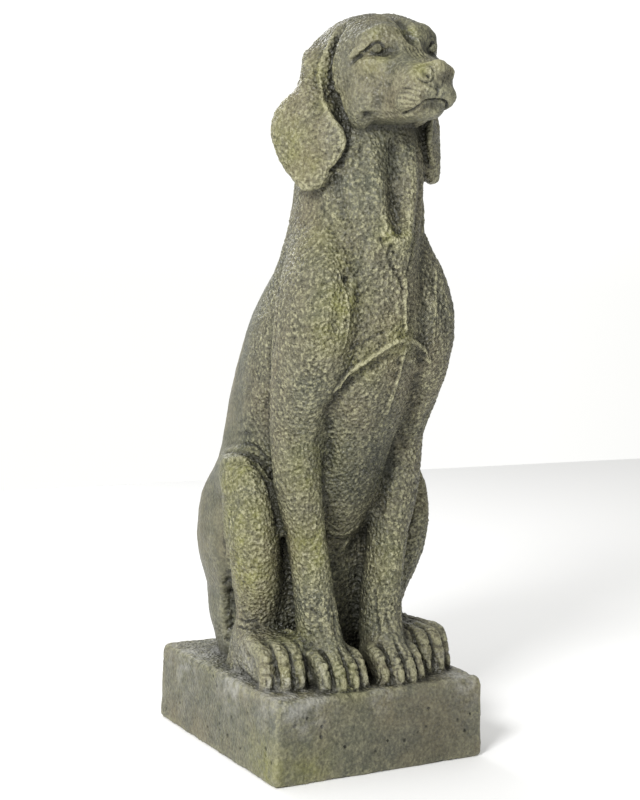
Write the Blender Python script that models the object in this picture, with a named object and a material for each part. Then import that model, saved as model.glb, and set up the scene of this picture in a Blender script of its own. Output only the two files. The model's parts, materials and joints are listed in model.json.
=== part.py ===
"""Garden statue of a seated hound on a low plinth, cast in one piece.

The hound faces -Y and sits on the plinth's top; +Z is up and the origin is the centre
of the plinth's underside. The figure is built as a carver would rough it out: oval
sections are lofted into trunk, limbs, head and ears, the forms are fused and relaxed
into one skin, the main folds are cut with strokes, and the plinth is joined on below.
"""

import math

import bmesh
import bpy
import numpy as np
from mathutils import Matrix, Vector
from mathutils.bvhtree import BVHTree

# Driving sizes, in metres.
OVERALL_HEIGHT = 0.771
PLINTH_WIDTH = 0.249
PLINTH_DEPTH = 0.285
PLINTH_HEIGHT = 0.085
PLINTH_DRAFT = 0.002
PLINTH_EDGE = 0.004

# The figure's own measures are shares of its height. One module is a centimetre at the real size.
FIGURE_MODULES = 68.7
MODULE = (OVERALL_HEIGHT - PLINTH_HEIGHT) / FIGURE_MODULES

# Fineness of the fused skin and of the finished solid.
BODY_VOXEL = 0.34 * MODULE
SKIN_VOXEL = 0.22 * MODULE
FIGURE_TRIANGLES = 9750

# Linear colour of the stained stone.
STONE_COLOUR = (0.153, 0.147, 0.098)
STONE_ROUGHNESS = 0.82

RING_POINTS = 20
STEPS_BETWEEN_STATIONS = 5
LEFT, RIGHT = 1, -1


def clear_scene():
    for thing in list(bpy.data.objects):
        bpy.data.objects.remove(thing)


def place(x, y, z):
    """A point of the figure, given in modules from the middle of the plinth's top."""
    return Vector((x * MODULE, y * MODULE, PLINTH_HEIGHT + z * MODULE))


def eased(stations):
    """The stations with smooth in-between ones, by a Catmull-Rom curve through all their values."""
    rows = np.array(stations, float)
    padded = np.vstack([2 * rows[0] - rows[1], rows, 2 * rows[-1] - rows[-2]])
    made = []
    for i in range(1, len(padded) - 2):
        before, here, there, after = padded[i - 1 : i + 3]
        for step in range(STEPS_BETWEEN_STATIONS):
            t = step / STEPS_BETWEEN_STATIONS
            line = 2 * here + (there - before) * t
            bend = (2 * before - 5 * here + 4 * there - after) * t**2
            twist = (3 * here - before - 3 * there + after) * t**3
            made.append((line + bend + twist) / 2)
    made.append(rows[-1])
    return made


def loft(name, stations, across=(1, 0, 0), square=1.0, level=False):
    """A closed form through oval sections. A station is x, y, z, half width across, half depth.
    A square under 1 fills the oval's corners, and level keeps the sections level."""
    rows = eased(stations)
    centres = [place(*row[:3]) for row in rows]
    corners = []
    for i, row in enumerate(rows):
        along = centres[min(i + 1, len(rows) - 1)] - centres[max(i - 1, 0)]
        along.normalize()
        if level:
            along = Vector((0, 0, -1))
        side = Vector(across) - along * along.dot(Vector(across))
        side.normalize()
        deep = along.cross(side)
        half_width, half_depth = max(row[3], 0.05) * MODULE, max(row[4], 0.05) * MODULE
        for k in range(RING_POINTS):
            turn = 2 * math.pi * (k + 0.5) / RING_POINTS
            c, s = math.cos(turn), math.sin(turn)
            sideways = math.copysign(abs(c) ** square, c) * half_width
            inwards = math.copysign(abs(s) ** square, s) * half_depth
            corners.append(centres[i] + side * sideways + deep * inwards)
    faces = [list(range(RING_POINTS - 1, -1, -1))]
    for i in range(len(rows) - 1):
        for k in range(RING_POINTS):
            a, b = i * RING_POINTS + k, i * RING_POINTS + (k + 1) % RING_POINTS
            faces.append((a, b, b + RING_POINTS, a + RING_POINTS))
    last = (len(rows) - 1) * RING_POINTS
    faces.append([last + k for k in range(RING_POINTS)])
    mesh = bpy.data.meshes.new(name)
    mesh.from_pydata(corners, [], faces)
    form = bpy.data.objects.new(name, mesh)
    bpy.context.collection.objects.link(form)
    return form


def ball(name, centre, radii, turn=(0, 0, 0)):
    """An egg-shaped mass. Centre and radii are in modules, turn in degrees about X, Y and Z."""
    bpy.ops.mesh.primitive_uv_sphere_add(segments=28, ring_count=18, radius=1)
    form = bpy.context.object
    form.name = name
    angles = [math.radians(a) for a in turn]
    spin = Matrix.Rotation(angles[2], 4, "Z") @ Matrix.Rotation(angles[1], 4, "Y")
    spin = spin @ Matrix.Rotation(angles[0], 4, "X")
    size = Matrix.Diagonal((*[r * MODULE for r in radii], 1))
    form.data.transform(Matrix.Translation(place(*centre)) @ spin @ size)
    return form


def mirrored(stations, side):
    """Stations drawn for the left, taken to the side asked for."""
    return [(row[0] * side, *row[1:]) for row in stations]


def trunk():
    """Seat, ribs, chest and neck in one run, as level sections up the body."""
    # height, front, back, half width
    sections = [
        (-2.0, -3.0, 11.4, 8.1),
        (2.0, -3.0, 12.9, 9.3),
        (7.0, -2.9, 14.0, 10.2),
        (11.5, -2.9, 13.6, 9.8),
        (16.5, -4.0, 13.6, 9.4),
        (20.0, -5.2, 13.4, 9.3),
        (25.3, -7.8, 12.9, 9.2),
        (31.8, -12.0, 10.3, 9.1),
        (35.5, -13.8, 8.0, 8.8),
        (38.5, -14.4, 5.9, 8.2),
        (42.0, -14.5, 3.9, 7.2),
        (46.0, -14.6, 2.1, 6.6),
        (50.0, -14.5, 0.9, 6.5),
        (54.0, -14.0, 0.0, 6.3),
        (57.5, -13.4, -0.7, 5.7),
        (61.0, -12.5, -1.6, 4.9),
        (63.5, -11.5, -3.4, 3.6),
    ]
    run = [(0, (f + b) / 2, z, w, (b - f) / 2) for z, f, b, w in sections]
    return loft("trunk", run)


def keel():
    """Breastbone and belly, standing forward between the forelegs."""
    # height, front, half width
    sections = [
        (12.6, -2.0, 1.6),
        (14.6, -4.8, 2.9),
        (18.5, -7.4, 3.9),
        (24.5, -10.3, 4.5),
        (30.0, -12.7, 5.0),
        (35.0, -14.7, 5.0),
        (40.0, -15.1, 4.4),
        (46.0, -15.2, 3.2),
        (49.0, -14.2, 2.0),
    ]
    depth = 4.0
    run = [(0, f + depth * w / 5, z, w, depth * w / 5) for z, f, w in sections]
    return loft("keel", run)


def web():
    """The plain filling behind the forelegs, under the belly."""
    run = [(0, -1.6, -1.5, 6.6, 2.4), (0, -1.6, 7.0, 6.8, 2.4), (0, -1.6, 17.0, 7.0, 2.4)]
    return loft("web", run, square=0.6)


def haunch(side):
    """The folded thigh, a long egg from hip to knee."""
    return ball("haunch", (7.3 * side, 4.7, 13.6), (4.0, 7.4, 9.0), (-12, 0, 0))


def shank(side):
    """Knee, lower hind leg and heel."""
    stations = [
        (8.2, 5.0, 20.0, 2.2, 3.0),
        (9.2, 1.2, 21.1, 2.4, 2.7),
        (9.6, -1.3, 19.4, 2.5, 3.2),
        (9.6, -2.0, 16.4, 2.6, 3.7),
        (9.0, -2.0, 12.8, 2.7, 3.6),
        (7.9, -1.2, 8.8, 2.6, 3.1),
        (7.5, -0.8, 6.0, 2.4, 2.7),
        (7.9, -0.2, 3.0, 2.4, 2.8),
        (8.5, 0.0, -1.0, 2.4, 3.0),
    ]
    return loft("shank", mirrored(stations, side))


def foreleg(side):
    """Shoulder, upper arm, forearm and wrist in one run."""
    stations = [
        (3.9, -5.6, 47.0, 2.4, 3.9),
        (4.8, -7.4, 43.0, 3.6, 5.2),
        (5.9, -8.8, 38.0, 3.9, 5.6),
        (6.3, -8.0, 33.5, 3.5, 4.9),
        (6.3, -6.7, 29.5, 3.1, 4.1),
        (6.1, -5.7, 26.0, 2.8, 3.3),
        (6.0, -6.0, 22.4, 2.7, 3.0),
        (5.7, -6.3, 19.0, 2.4, 2.6),
        (5.1, -6.3, 15.5, 2.1, 2.4),
        (4.6, -6.4, 12.0, 2.0, 2.5),
        (4.2, -6.5, 9.5, 2.05, 2.55),
        (3.95, -6.8, 6.6, 2.15, 2.65),
        (3.7, -7.5, 3.6, 2.25, 2.9),
        (3.5, -9.0, 1.0, 2.4, 3.4),
        (3.5, -9.2, -1.0, 2.4, 3.4),
    ]
    return loft("foreleg", mirrored(stations, side))


# name, x, splay, heel, tip, width, height
PAWS = (
    ("forepaw", 3.45, 0.0, -6.6, -13.2, 5.7, 4.4),
    ("hindpaw", 7.6, 0.9, 1.2, -10.8, 6.1, 5.8),
)
TOE_SHARES = (-0.76, -0.26, 0.26, 0.76)


def paw(side, name, x, splay, heel, tip, width, height):
    """A paw of four toes. Heel and tip place it along the plinth, splay turns its toes outwards."""
    length = heel - tip
    slope = splay / length
    half = width / 2
    pad = [
        (x, heel, height * 0.45, half * 0.82, height * 0.5),
        (x + slope * length * 0.3, heel - length * 0.3, height * 0.42, half * 0.92, height * 0.48),
        (x + slope * length * 0.65, heel - length * 0.65, height * 0.25, half * 0.98, height * 0.36),
        (x + splay * 0.85, tip + length * 0.15, height * 0.1, half * 0.9, height * 0.24),
    ]
    forms = [loft(name, mirrored(pad, side), square=0.8)]
    for share in TOE_SHARES:
        outer = abs(share) > 0.5
        reach = tip + (length * 0.1 if outer else 0)
        thick = half * 0.27
        toe_x = x + splay + share * half
        root_x = x + splay * 0.4 + share * half * 0.7
        run = [
            (root_x, reach + length * 0.62, height * 0.66, thick * 0.8, thick),
            (toe_x, reach + 3.0, height * 0.65, thick, thick * 1.1),
            (toe_x, reach + 1.7, height * 0.54, thick, thick * 1.25),
            (toe_x, reach + thick * 0.95, height * 0.22, thick, thick * 1.15),
            (toe_x, reach + thick * 0.8, -0.6, thick * 0.9, thick),
        ]
        forms.append(loft(f"{name}_toe", mirrored(run, side)))
    return forms


def toe_grooves(name, x, splay, heel, tip, width, height):
    """The strokes that part a paw's toes."""
    strokes = []
    for first, second in zip(TOE_SHARES[:-1], TOE_SHARES[1:]):
        middle = (first + second) / 2 * width / 2 + x + splay
        points = [
            (middle, tip + 3.6, height * 0.72),
            (middle, tip + 1.6, height * 0.5),
            (middle, tip + 0.5, height * 0.12),
        ]
        strokes.append((True, 0.42, 0.4, points))
    return strokes


def tail():
    """The tail lies curled along the plinth's top round the left haunch."""
    stations = [
        (0.0, 11.4, 9.0, 1.7, 1.5),
        (0.8, 12.4, 5.2, 1.5, 1.4),
        (3.6, 12.3, 2.0, 1.4, 1.4),
        (7.4, 10.8, 1.0, 1.3, 1.3),
        (10.0, 7.8, 0.8, 1.2, 1.2),
        (10.6, 5.0, 0.7, 0.8, 0.8),
    ]
    return loft("tail", stations, across=(0, 0, 1))


HEAD_SKEW = 0.09


def head():
    """Skull, muzzle, jaw, cheeks, brows and ears, all level; the head is skewed afterwards."""
    # y, crown, base, half width
    skull_sections = [
        (-1.8, 64.4, 60.6, 2.4),
        (-3.4, 67.0, 58.6, 4.4),
        (-6.2, 68.7, 57.2, 5.5),
        (-9.4, 68.9, 57.3, 5.6),
        (-12.2, 68.2, 57.4, 5.3),
        (-14.0, 66.5, 57.5, 4.6),
        (-15.6, 64.9, 57.8, 3.7),
        (-17.0, 63.9, 58.2, 3.1),
    ]
    run = [(0, y, (c + b) / 2, w, (c - b) / 2) for y, c, b, w in skull_sections]
    forms = [loft("skull", run, square=0.85)]
    # y, bridge, lip, half width
    muzzle_sections = [
        (-11.5, 64.0, 57.8, 4.0),
        (-14.5, 63.9, 57.9, 3.6),
        (-17.0, 63.6, 58.1, 3.1),
        (-19.0, 63.1, 58.3, 2.8),
        (-20.3, 62.5, 58.6, 2.4),
        (-20.9, 61.9, 59.3, 1.8),
        (-21.1, 61.2, 60.2, 0.9),
    ]
    run = [(0, y, (c + b) / 2, w, (c - b) / 2) for y, c, b, w in muzzle_sections]
    forms.append(loft("muzzle", run, square=0.72))
    # y, top, bottom, half width
    jaw_sections = [
        (-9.0, 60.4, 57.0, 3.9),
        (-13.0, 60.0, 57.3, 3.6),
        (-16.5, 59.8, 57.4, 2.9),
        (-19.0, 59.6, 57.3, 2.3),
        (-20.4, 59.4, 57.7, 1.4),
    ]
    run = [(0, y, (c + b) / 2, w, (c - b) / 2) for y, c, b, w in jaw_sections]
    forms.append(loft("jaw", run, square=0.85))
    forms.append(ball("nose", (0, -20.1, 61.6), (1.6, 1.15, 1.3)))
    for side in (LEFT, RIGHT):
        forms.append(ball("brow", (2.9 * side, -13.5, 65.9), (1.4, 1.4, 0.9), (0, 20 * side, 0)))
        forms.append(ball("cheek", (3.3 * side, -12.0, 60.2), (1.8, 3.8, 3.2)))
        forms.append(ball("ear_root", (3.9 * side, -5.7, 65.7), (1.4, 1.4, 1.4)))
        forms.append(ball("jowl", (3.9 * side, -8.6, 59.8), (1.9, 3.2, 3.4)))
        forms.append(ball("flew", (1.6 * side, -18.9, 59.4), (1.4, 2.2, 1.5)))
        forms.append(ear(side))
    return forms


def eyes():
    """Eyeballs and their lids."""
    forms = []
    for side in (LEFT, RIGHT):
        forms.append(ball("eyeball", (3.15 * side, -14.55, 64.4), (0.95, 1.0, 0.9)))
        upper = [
            (2.0, -15.7, 64.2, 0.25, 0.3),
            (2.6, -15.5, 65.1, 0.35, 0.4),
            (3.5, -14.9, 65.3, 0.35, 0.4),
            (4.35, -13.9, 64.8, 0.35, 0.4),
            (5.0, -12.8, 63.9, 0.3, 0.3),
        ]
        lower = [
            (2.0, -15.7, 64.0, 0.25, 0.25),
            (2.9, -15.6, 63.4, 0.35, 0.35),
            (3.9, -15.0, 63.4, 0.35, 0.35),
            (4.7, -13.9, 63.6, 0.25, 0.25),
        ]
        forms.append(loft("upper_lid", mirrored(upper, side), across=(0, 0, 1)))
        forms.append(loft("lower_lid", mirrored(lower, side), across=(0, 0, 1)))
    return forms


def skew(forms):
    """The head is carried with its left side a little higher than its right."""
    for form in forms:
        for point in form.data.vertices:
            point.co.z += HEAD_SKEW * point.co.x


def ear(side):
    """A long ear hung from the side of the skull, turned so that its back edge stands out."""
    stations = [
        (2.2, -7.0, 66.6, 2.0, 0.9),
        (4.5, -7.0, 65.6, 2.3, 1.2),
        (5.7, -7.2, 64.2, 1.5, 1.0),
        (6.2, -7.3, 62.9, 1.3, 1.05),
        (6.5, -7.6, 61.8, 1.5, 1.05),
        (7.0, -7.6, 60.5, 2.6, 1.2),
        (7.3, -7.9, 59.1, 3.5, 1.3),
        (7.2, -8.6, 57.2, 4.2, 1.3),
        (6.9, -9.1, 55.6, 4.2, 1.3),
        (7.0, -9.4, 53.5, 3.1, 1.2),
        (7.2, -9.7, 51.9, 1.7, 0.9),
        (7.4, -9.9, 51.2, 0.9, 0.5),
    ]
    return loft("ear", mirrored(stations, side), across=(0.57 * side, 0.82, 0), level=True)


# Furrows and ridges worked into the skin: on both sides or on the middle line, width, depth (less
# than nothing for a ridge), and the points it runs through. The head's are worked first.
HEAD_STROKES = (
    # Eye sockets, inner and outer corner.
    (True, 1.4, 0.8, [(2.0, -15.7, 64.3), (3.3, -14.9, 64.4), (4.6, -13.5, 64.1)]),
    # Stop, and the furrow up the forehead.
    (False, 0.9, 0.35, [(0, -15.2, 65.0), (0, -13.6, 67.0), (0, -11.0, 68.6)]),
    # Furrow in front of the root of the ear.
    (True, 0.8, 0.7, [(3.9, -9.9, 67.2), (4.8, -9.8, 65.4), (5.2, -9.6, 62.8), (4.9, -9.7, 60.2)]),
    # Lip line and the corner of the mouth.
    (True, 0.4, 0.25, [(0, -20.9, 58.6), (1.7, -20.0, 58.3), (2.9, -17.0, 58.2), (3.7, -14.4, 57.9)]),
    (True, 0.45, 0.35, [(3.6, -14.5, 57.9), (3.7, -14.2, 57.85)]),
    # Parting of the upper lip.
    (False, 0.4, 0.25, [(0, -21.2, 60.4), (0, -20.9, 58.9)]),
    # Edge of the nose leather, and the nostrils.
    (True, 0.4, 0.22, [(0.2, -20.9, 60.3), (1.6, -20.3, 60.5), (1.9, -19.4, 61.6), (1.3, -19.2, 62.8)]),
    (True, 0.45, 0.3, [(1.0, -21.0, 61.6), (1.4, -20.6, 61.7)]),
)
BODY_STROKES = (
    # Groove between thigh and lower leg.
    (True, 0.8, 0.7, [(11.0, 1.6, 16.0), (10.4, 2.0, 11.0), (9.8, 2.0, 6.0), (9.6, 2.6, 1.5)]),
    # Rear edge of the shoulder.
    (True, 1.2, 0.5, [(7.5, -2.8, 43.0), (9.6, -4.4, 38.0), (9.8, -4.0, 32.0), (9.0, -3.0, 25.0)]),
    # Hollow of the throat between two folds of loose skin.
    (False, 1.1, 0.7, [(0, -14.0, 55.5), (0, -14.4, 51.0), (0, -15.0, 46.8)]),
    (True, 0.9, -0.4, [(2.4, -13.6, 55.5), (1.8, -14.0, 51.0), (1.5, -14.5, 47.0), (0.5, -15.2, 45.0)]),
    # Breastbone, and the arch of the breast muscles.
    (False, 0.8, -0.35, [(0, -15.2, 45.5), (0, -15.6, 40.5), (0, -15.2, 35.5)]),
    (True, 0.8, -0.3, [(0.6, -14.9, 35.2), (2.7, -14.2, 34.6), (5.1, -12.8, 32.6), (5.8, -11.8, 30.4)]),
    # Where the forelegs stand clear of the belly.
    (True, 0.9, 0.5, [(5.4, -10.8, 29.0), (4.0, -9.2, 25.0), (3.7, -8.1, 21.0), (3.4, -7.2, 17.0)]),
)


def smooth_mask(distance, width):
    """One on the stroke's line, falling smoothly to nothing at its width."""
    share = np.clip(1 - (distance / width) ** 2, 0, 1)
    return share * share


def distance_to_line(points, line):
    """Distance from every point to the nearest part of a run of straight pieces."""
    nearest = np.full(len(points), np.inf)
    for start, end in zip(line[:-1], line[1:]):
        run = end - start
        share = np.clip((points - start) @ run / (run @ run), 0, 1)
        gap = np.linalg.norm(points - start - share[:, None] * run, axis=1)
        nearest = np.minimum(nearest, gap)
    return nearest


def mesh_points(mesh, attribute="co"):
    source = mesh.vertices if attribute == "co" else mesh.vertex_normals
    values = np.empty(len(mesh.vertices) * 3)
    source.foreach_get("co" if attribute == "co" else "vector", values)
    return values.reshape(-1, 3)


def work_strokes(figure, strokes, skewed=0.0):
    """Each stroke is laid on the skin, and the skin under it moves in or out along its normals."""
    for both_sides, width, depth, points in strokes:
        skin = BVHTree.FromObject(figure, bpy.context.evaluated_depsgraph_get())
        for side in (LEFT, RIGHT) if both_sides else (LEFT,):
            marks = [place(x * side, y, z + skewed * x * side) for x, y, z in points]
            line = np.array([skin.find_nearest(mark)[0] for mark in marks])
            at = mesh_points(figure.data)
            amount = smooth_mask(distance_to_line(at, line), width * MODULE) * depth * MODULE
            at -= mesh_points(figure.data, "normal") * amount[:, None]
            figure.data.vertices.foreach_set("co", at.ravel())
            figure.data.update()


def join(name, forms):
    bpy.ops.object.select_all(action="DESELECT")
    for form in forms:
        form.select_set(True)
    bpy.context.view_layer.objects.active = forms[0]
    bpy.ops.object.join()
    joined = bpy.context.object
    joined.name = name
    return joined


def apply(thing, kind, **settings):
    """Adds a modifier to the object and applies it."""
    modifier = thing.modifiers.new(kind.lower(), kind)
    for key, value in settings.items():
        setattr(modifier, key, value)
    bpy.context.view_layer.objects.active = thing
    bpy.ops.object.modifier_apply(modifier=modifier.name)


def drop_hollows(figure):
    """Keeps the outer skin and drops any pocket sealed up between the forms."""
    shape = bmesh.new()
    shape.from_mesh(figure.data)
    left = set(shape.verts)
    islands = []
    while left:
        island = {left.pop()}
        edge = list(island)
        while edge:
            point = edge.pop()
            for link in point.link_edges:
                other = link.other_vert(point)
                if other in left:
                    left.remove(other)
                    island.add(other)
                    edge.append(other)
        islands.append(island)
    islands.sort(key=len)
    for pocket in islands[:-1]:
        bmesh.ops.delete(shape, geom=list(pocket), context="VERTS")
    shape.to_mesh(figure.data)
    shape.free()


def fuse(name, forms, voxel, turns):
    """Many overlapping forms become one closed skin, then its creases are relaxed."""
    figure = join(name, forms)
    apply(figure, "REMESH", mode="VOXEL", voxel_size=voxel)
    drop_hollows(figure)
    apply(figure, "SMOOTH", factor=0.5, iterations=turns)
    return figure


def plinth():
    """The block under the hound, a little narrower at the top where the mould draws off."""
    bpy.ops.mesh.primitive_cube_add(size=1)
    block = bpy.context.object
    block.name = "plinth"
    for corner in block.data.vertices:
        inset = PLINTH_DRAFT if corner.co.z > 0 else 0
        corner.co.x *= PLINTH_WIDTH - 2 * inset
        corner.co.y *= PLINTH_DEPTH - 2 * inset
        corner.co.z = PLINTH_HEIGHT if corner.co.z > 0 else 0
    apply(block, "BEVEL", width=PLINTH_EDGE, segments=3, limit_method="ANGLE")
    return block


def finish(statue):
    """Cast stone stained a mossy grey-green, matt all over."""
    stone = bpy.data.materials.new("mossy cast stone")
    stone.use_nodes = True
    shader = stone.node_tree.nodes["Principled BSDF"]
    shader.inputs["Base Color"].default_value = (*STONE_COLOUR, 1)
    shader.inputs["Roughness"].default_value = STONE_ROUGHNESS
    shader.inputs["Metallic"].default_value = 0.0
    statue.data.materials.clear()
    statue.data.materials.append(stone)


def set_height(figure):
    """Brings the crown to the statue's overall height, working up from the plinth's top."""
    at = mesh_points(figure.data)
    rise = (OVERALL_HEIGHT - PLINTH_HEIGHT) / (at[:, 2].max() - PLINTH_HEIGHT)
    above = at[:, 2] > PLINTH_HEIGHT
    at[above, 2] = PLINTH_HEIGHT + (at[above, 2] - PLINTH_HEIGHT) * rise
    figure.data.vertices.foreach_set("co", at.ravel())
    figure.data.update()


def thin_out(figure, triangles):
    """Fewer, larger faces, keeping most of them on the head and the paws."""
    group = figure.vertex_groups.new(name="plain")
    for point in figure.data.vertices:
        height = (point.co.z - PLINTH_HEIGHT) / MODULE
        ahead = -point.co.y / MODULE
        if height > 57 and ahead > 12:
            plain = 0.3
        elif height > 50 or height < 5:
            plain = 0.7
        else:
            plain = 1.0
        group.add([point.index], plain, "REPLACE")
    faces = sum(len(face.vertices) - 2 for face in figure.data.polygons)
    apply(
        figure,
        "DECIMATE",
        ratio=triangles / faces,
        vertex_group=group.name,
        vertex_group_factor=0.12,
    )
    figure.vertex_groups.clear()


def build():
    clear_scene()
    forms = [trunk(), keel(), web(), tail()]
    for side in (LEFT, RIGHT):
        forms += [haunch(side), shank(side), foreleg(side)]
    body = fuse("body", forms, BODY_VOXEL, 6)
    work_strokes(body, BODY_STROKES)
    face = head()
    skew(face)
    face = fuse("head", face, SKIN_VOXEL, 4)
    work_strokes(face, HEAD_STROKES, HEAD_SKEW)
    lids = eyes()
    skew(lids)
    forms = [body, face, *lids]
    for side in (LEFT, RIGHT):
        for measures in PAWS:
            forms += paw(side, *measures)
    figure = fuse("dog_statue", forms, SKIN_VOXEL, 3)
    for measures in PAWS:
        work_strokes(figure, toe_grooves(*measures))
    set_height(figure)
    thin_out(figure, FIGURE_TRIANGLES)
    block = plinth()
    apply(figure, "BOOLEAN", operation="UNION", solver="EXACT", use_self=True, object=block)
    bpy.data.objects.remove(block)
    drop_hollows(figure)
    finish(figure)


build()
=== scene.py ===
"""A seated hound on a low plinth, cast in one piece of stone and stained a mossy grey-green.

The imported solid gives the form. It is skinned finely here, its face, folds, paws and tooled
surface are carved, and it is stained, lit and seen from the photograph's side.
"""

import json
import math

import bpy
import numpy as np
from mathutils import Matrix, Vector
from mathutils.bvhtree import BVHTree

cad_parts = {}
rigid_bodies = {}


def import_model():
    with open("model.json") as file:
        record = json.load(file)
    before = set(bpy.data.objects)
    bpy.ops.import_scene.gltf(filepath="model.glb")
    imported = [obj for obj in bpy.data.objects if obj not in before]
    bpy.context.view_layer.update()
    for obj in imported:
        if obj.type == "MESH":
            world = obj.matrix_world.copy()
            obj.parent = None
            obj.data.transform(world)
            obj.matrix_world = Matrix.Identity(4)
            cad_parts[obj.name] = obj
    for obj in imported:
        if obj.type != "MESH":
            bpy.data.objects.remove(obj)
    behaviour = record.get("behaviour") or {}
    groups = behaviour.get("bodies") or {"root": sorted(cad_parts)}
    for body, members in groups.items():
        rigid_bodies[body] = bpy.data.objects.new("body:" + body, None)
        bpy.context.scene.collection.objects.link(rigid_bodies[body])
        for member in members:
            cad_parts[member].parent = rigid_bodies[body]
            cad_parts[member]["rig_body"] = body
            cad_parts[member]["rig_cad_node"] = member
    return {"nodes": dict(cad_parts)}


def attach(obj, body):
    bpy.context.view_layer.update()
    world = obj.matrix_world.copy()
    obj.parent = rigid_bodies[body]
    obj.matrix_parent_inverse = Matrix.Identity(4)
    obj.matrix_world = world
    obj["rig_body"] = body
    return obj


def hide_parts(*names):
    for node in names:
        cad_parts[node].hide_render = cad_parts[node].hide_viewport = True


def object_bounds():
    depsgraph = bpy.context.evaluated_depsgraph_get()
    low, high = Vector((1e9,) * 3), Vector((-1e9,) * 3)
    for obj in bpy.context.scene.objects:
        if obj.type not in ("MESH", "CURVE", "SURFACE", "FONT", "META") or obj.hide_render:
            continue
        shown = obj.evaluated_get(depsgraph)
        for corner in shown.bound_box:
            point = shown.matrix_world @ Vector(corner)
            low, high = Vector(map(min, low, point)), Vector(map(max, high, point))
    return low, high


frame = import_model()
cad_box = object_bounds()
bpy.ops.object.select_all(action="DESELECT")

# The photographer's stand
# The camera stands to the hound's right and a little above its chest, tipped down and leaning
# slightly, at the distance that gives the plinth's sides the photograph's convergence.
CAMERA_TURN = math.radians(-29.4373)
CAMERA_DOWN = math.radians(4.3303)
CAMERA_LEAN = math.radians(1.1393)
CAMERA_DISTANCE = 1.62959
CAMERA_SIDESTEP = -0.001576
CAMERA_AIM_HEIGHT = 0.37073

back = Vector((
    math.sin(CAMERA_TURN) * math.cos(CAMERA_DOWN),
    -math.cos(CAMERA_TURN) * math.cos(CAMERA_DOWN),
    math.sin(CAMERA_DOWN),
))
right = (-back).cross(Vector((0, 0, 1))).normalized()
upward = right.cross(-back)
leant_right = right * math.cos(CAMERA_LEAN) + upward * math.sin(CAMERA_LEAN)
leant_up = upward * math.cos(CAMERA_LEAN) - right * math.sin(CAMERA_LEAN)
eye_point = Vector((0, 0, CAMERA_AIM_HEIGHT)) + back * CAMERA_DISTANCE + right * CAMERA_SIDESTEP
bpy.ops.object.camera_add()
camera = bpy.context.object
camera.name = "camera"
camera.data.lens = 67.5
camera.data.sensor_width = 36
camera.matrix_world = Matrix.Translation(eye_point) @ Matrix(
    (leant_right, leant_up, back)
).transposed().to_4x4()
bpy.context.scene.camera = camera

# The rough casting
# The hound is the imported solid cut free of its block, rounded off where the solid has facets.
# Its measures are in modules, about a centimetre, from the middle of the plinth's top; the
# photograph shows the side with x below nothing, called the near side.
OVERALL_HEIGHT = 0.771
PLINTH_TOP = 0.085
HOUND_MODULES = 68.7
MODULE = (OVERALL_HEIGHT - PLINTH_TOP) / HOUND_MODULES
HEAD_LEAN = 0.09
INTO_PLINTH = 0.012


def spot(x, y, z):
    return Vector((x * MODULE, y * MODULE, PLINTH_TOP + z * MODULE))


def apply(piece, kind, **settings):
    """Adds a modifier to the piece and applies it."""
    modifier = piece.modifiers.new(kind.lower(), kind)
    for key, value in settings.items():
        setattr(modifier, key, value)
    bpy.context.view_layer.objects.active = piece
    bpy.ops.object.modifier_apply(modifier=modifier.name)


solid = frame["nodes"]["dog_statue"]
hound = solid.copy()
hound.data = solid.data.copy()
hound.name = "dog_statue_casting"
hound.parent = None
del hound["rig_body"]
del hound["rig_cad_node"]
bpy.context.collection.objects.link(hound)
hound.data.materials.clear()
for key in ("sharp_edge", "sharp_face", "custom_normal"):
    if key in hound.data.attributes:
        hound.data.attributes.remove(hound.data.attributes[key])

bpy.context.view_layer.objects.active = hound
hound.select_set(True)
bpy.ops.object.mode_set(mode="EDIT")
bpy.ops.mesh.select_all(action="SELECT")
bpy.ops.mesh.remove_doubles(threshold=0.00001)
bpy.ops.mesh.select_all(action="DESELECT")
bpy.ops.object.mode_set(mode="OBJECT")
for face in hound.data.polygons:
    face.select = all(
        hound.data.vertices[v].co.z < PLINTH_TOP + 0.0001 for v in face.vertices
    )
bpy.ops.object.mode_set(mode="EDIT")
bpy.ops.mesh.select_mode(type="FACE")
bpy.ops.mesh.delete(type="FACE")
bpy.ops.mesh.select_mode(type="VERT")
bpy.ops.mesh.select_all(action="DESELECT")
bpy.ops.mesh.select_non_manifold(extend=False, use_boundary=True)
bpy.ops.mesh.extrude_region_move(TRANSFORM_OT_translate={"value": (0, 0, -INTO_PLINTH)})
bpy.ops.object.mode_set(mode="OBJECT")
apply(hound, "SUBSURF", levels=2, render_levels=2)
bpy.ops.object.mode_set(mode="EDIT")
bpy.ops.mesh.select_all(action="SELECT")
bpy.ops.mesh.fill_holes(sides=0)
bpy.ops.mesh.normals_make_consistent(inside=False)
bpy.ops.object.mode_set(mode="OBJECT")
apply(hound, "SMOOTH", factor=0.5, iterations=4)

# The carver's strokes
# A stroke is laid on the skin and moves it in or out along its own direction, so it follows
# the form. Strokes of one sitting are all measured on the skin as it stood before them.
STEPS_BETWEEN_MARKS = 6
# A long stroke starts and ends at a quarter of its depth, over one and a half of its half widths.
END_DEPTH = 0.25
END_LENGTH = 1.5


def smooth_path(marks):
    """A finely stepped curve through the marks."""
    rows = np.array(marks, float)
    if len(rows) < 3:
        return rows
    padded = np.vstack([2 * rows[0] - rows[1], rows, 2 * rows[-1] - rows[-2]])
    made = []
    for i in range(1, len(padded) - 2):
        before, here, there, after = padded[i - 1 : i + 3]
        for step in range(STEPS_BETWEEN_MARKS):
            t = step / STEPS_BETWEEN_MARKS
            line = 2 * here + (there - before) * t
            bend = (2 * before - 5 * here + 4 * there - after) * t**2
            twist = (3 * here - before - 3 * there + after) * t**3
            made.append((line + bend + twist) / 2)
    made.append(rows[-1])
    return np.array(made)


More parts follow.
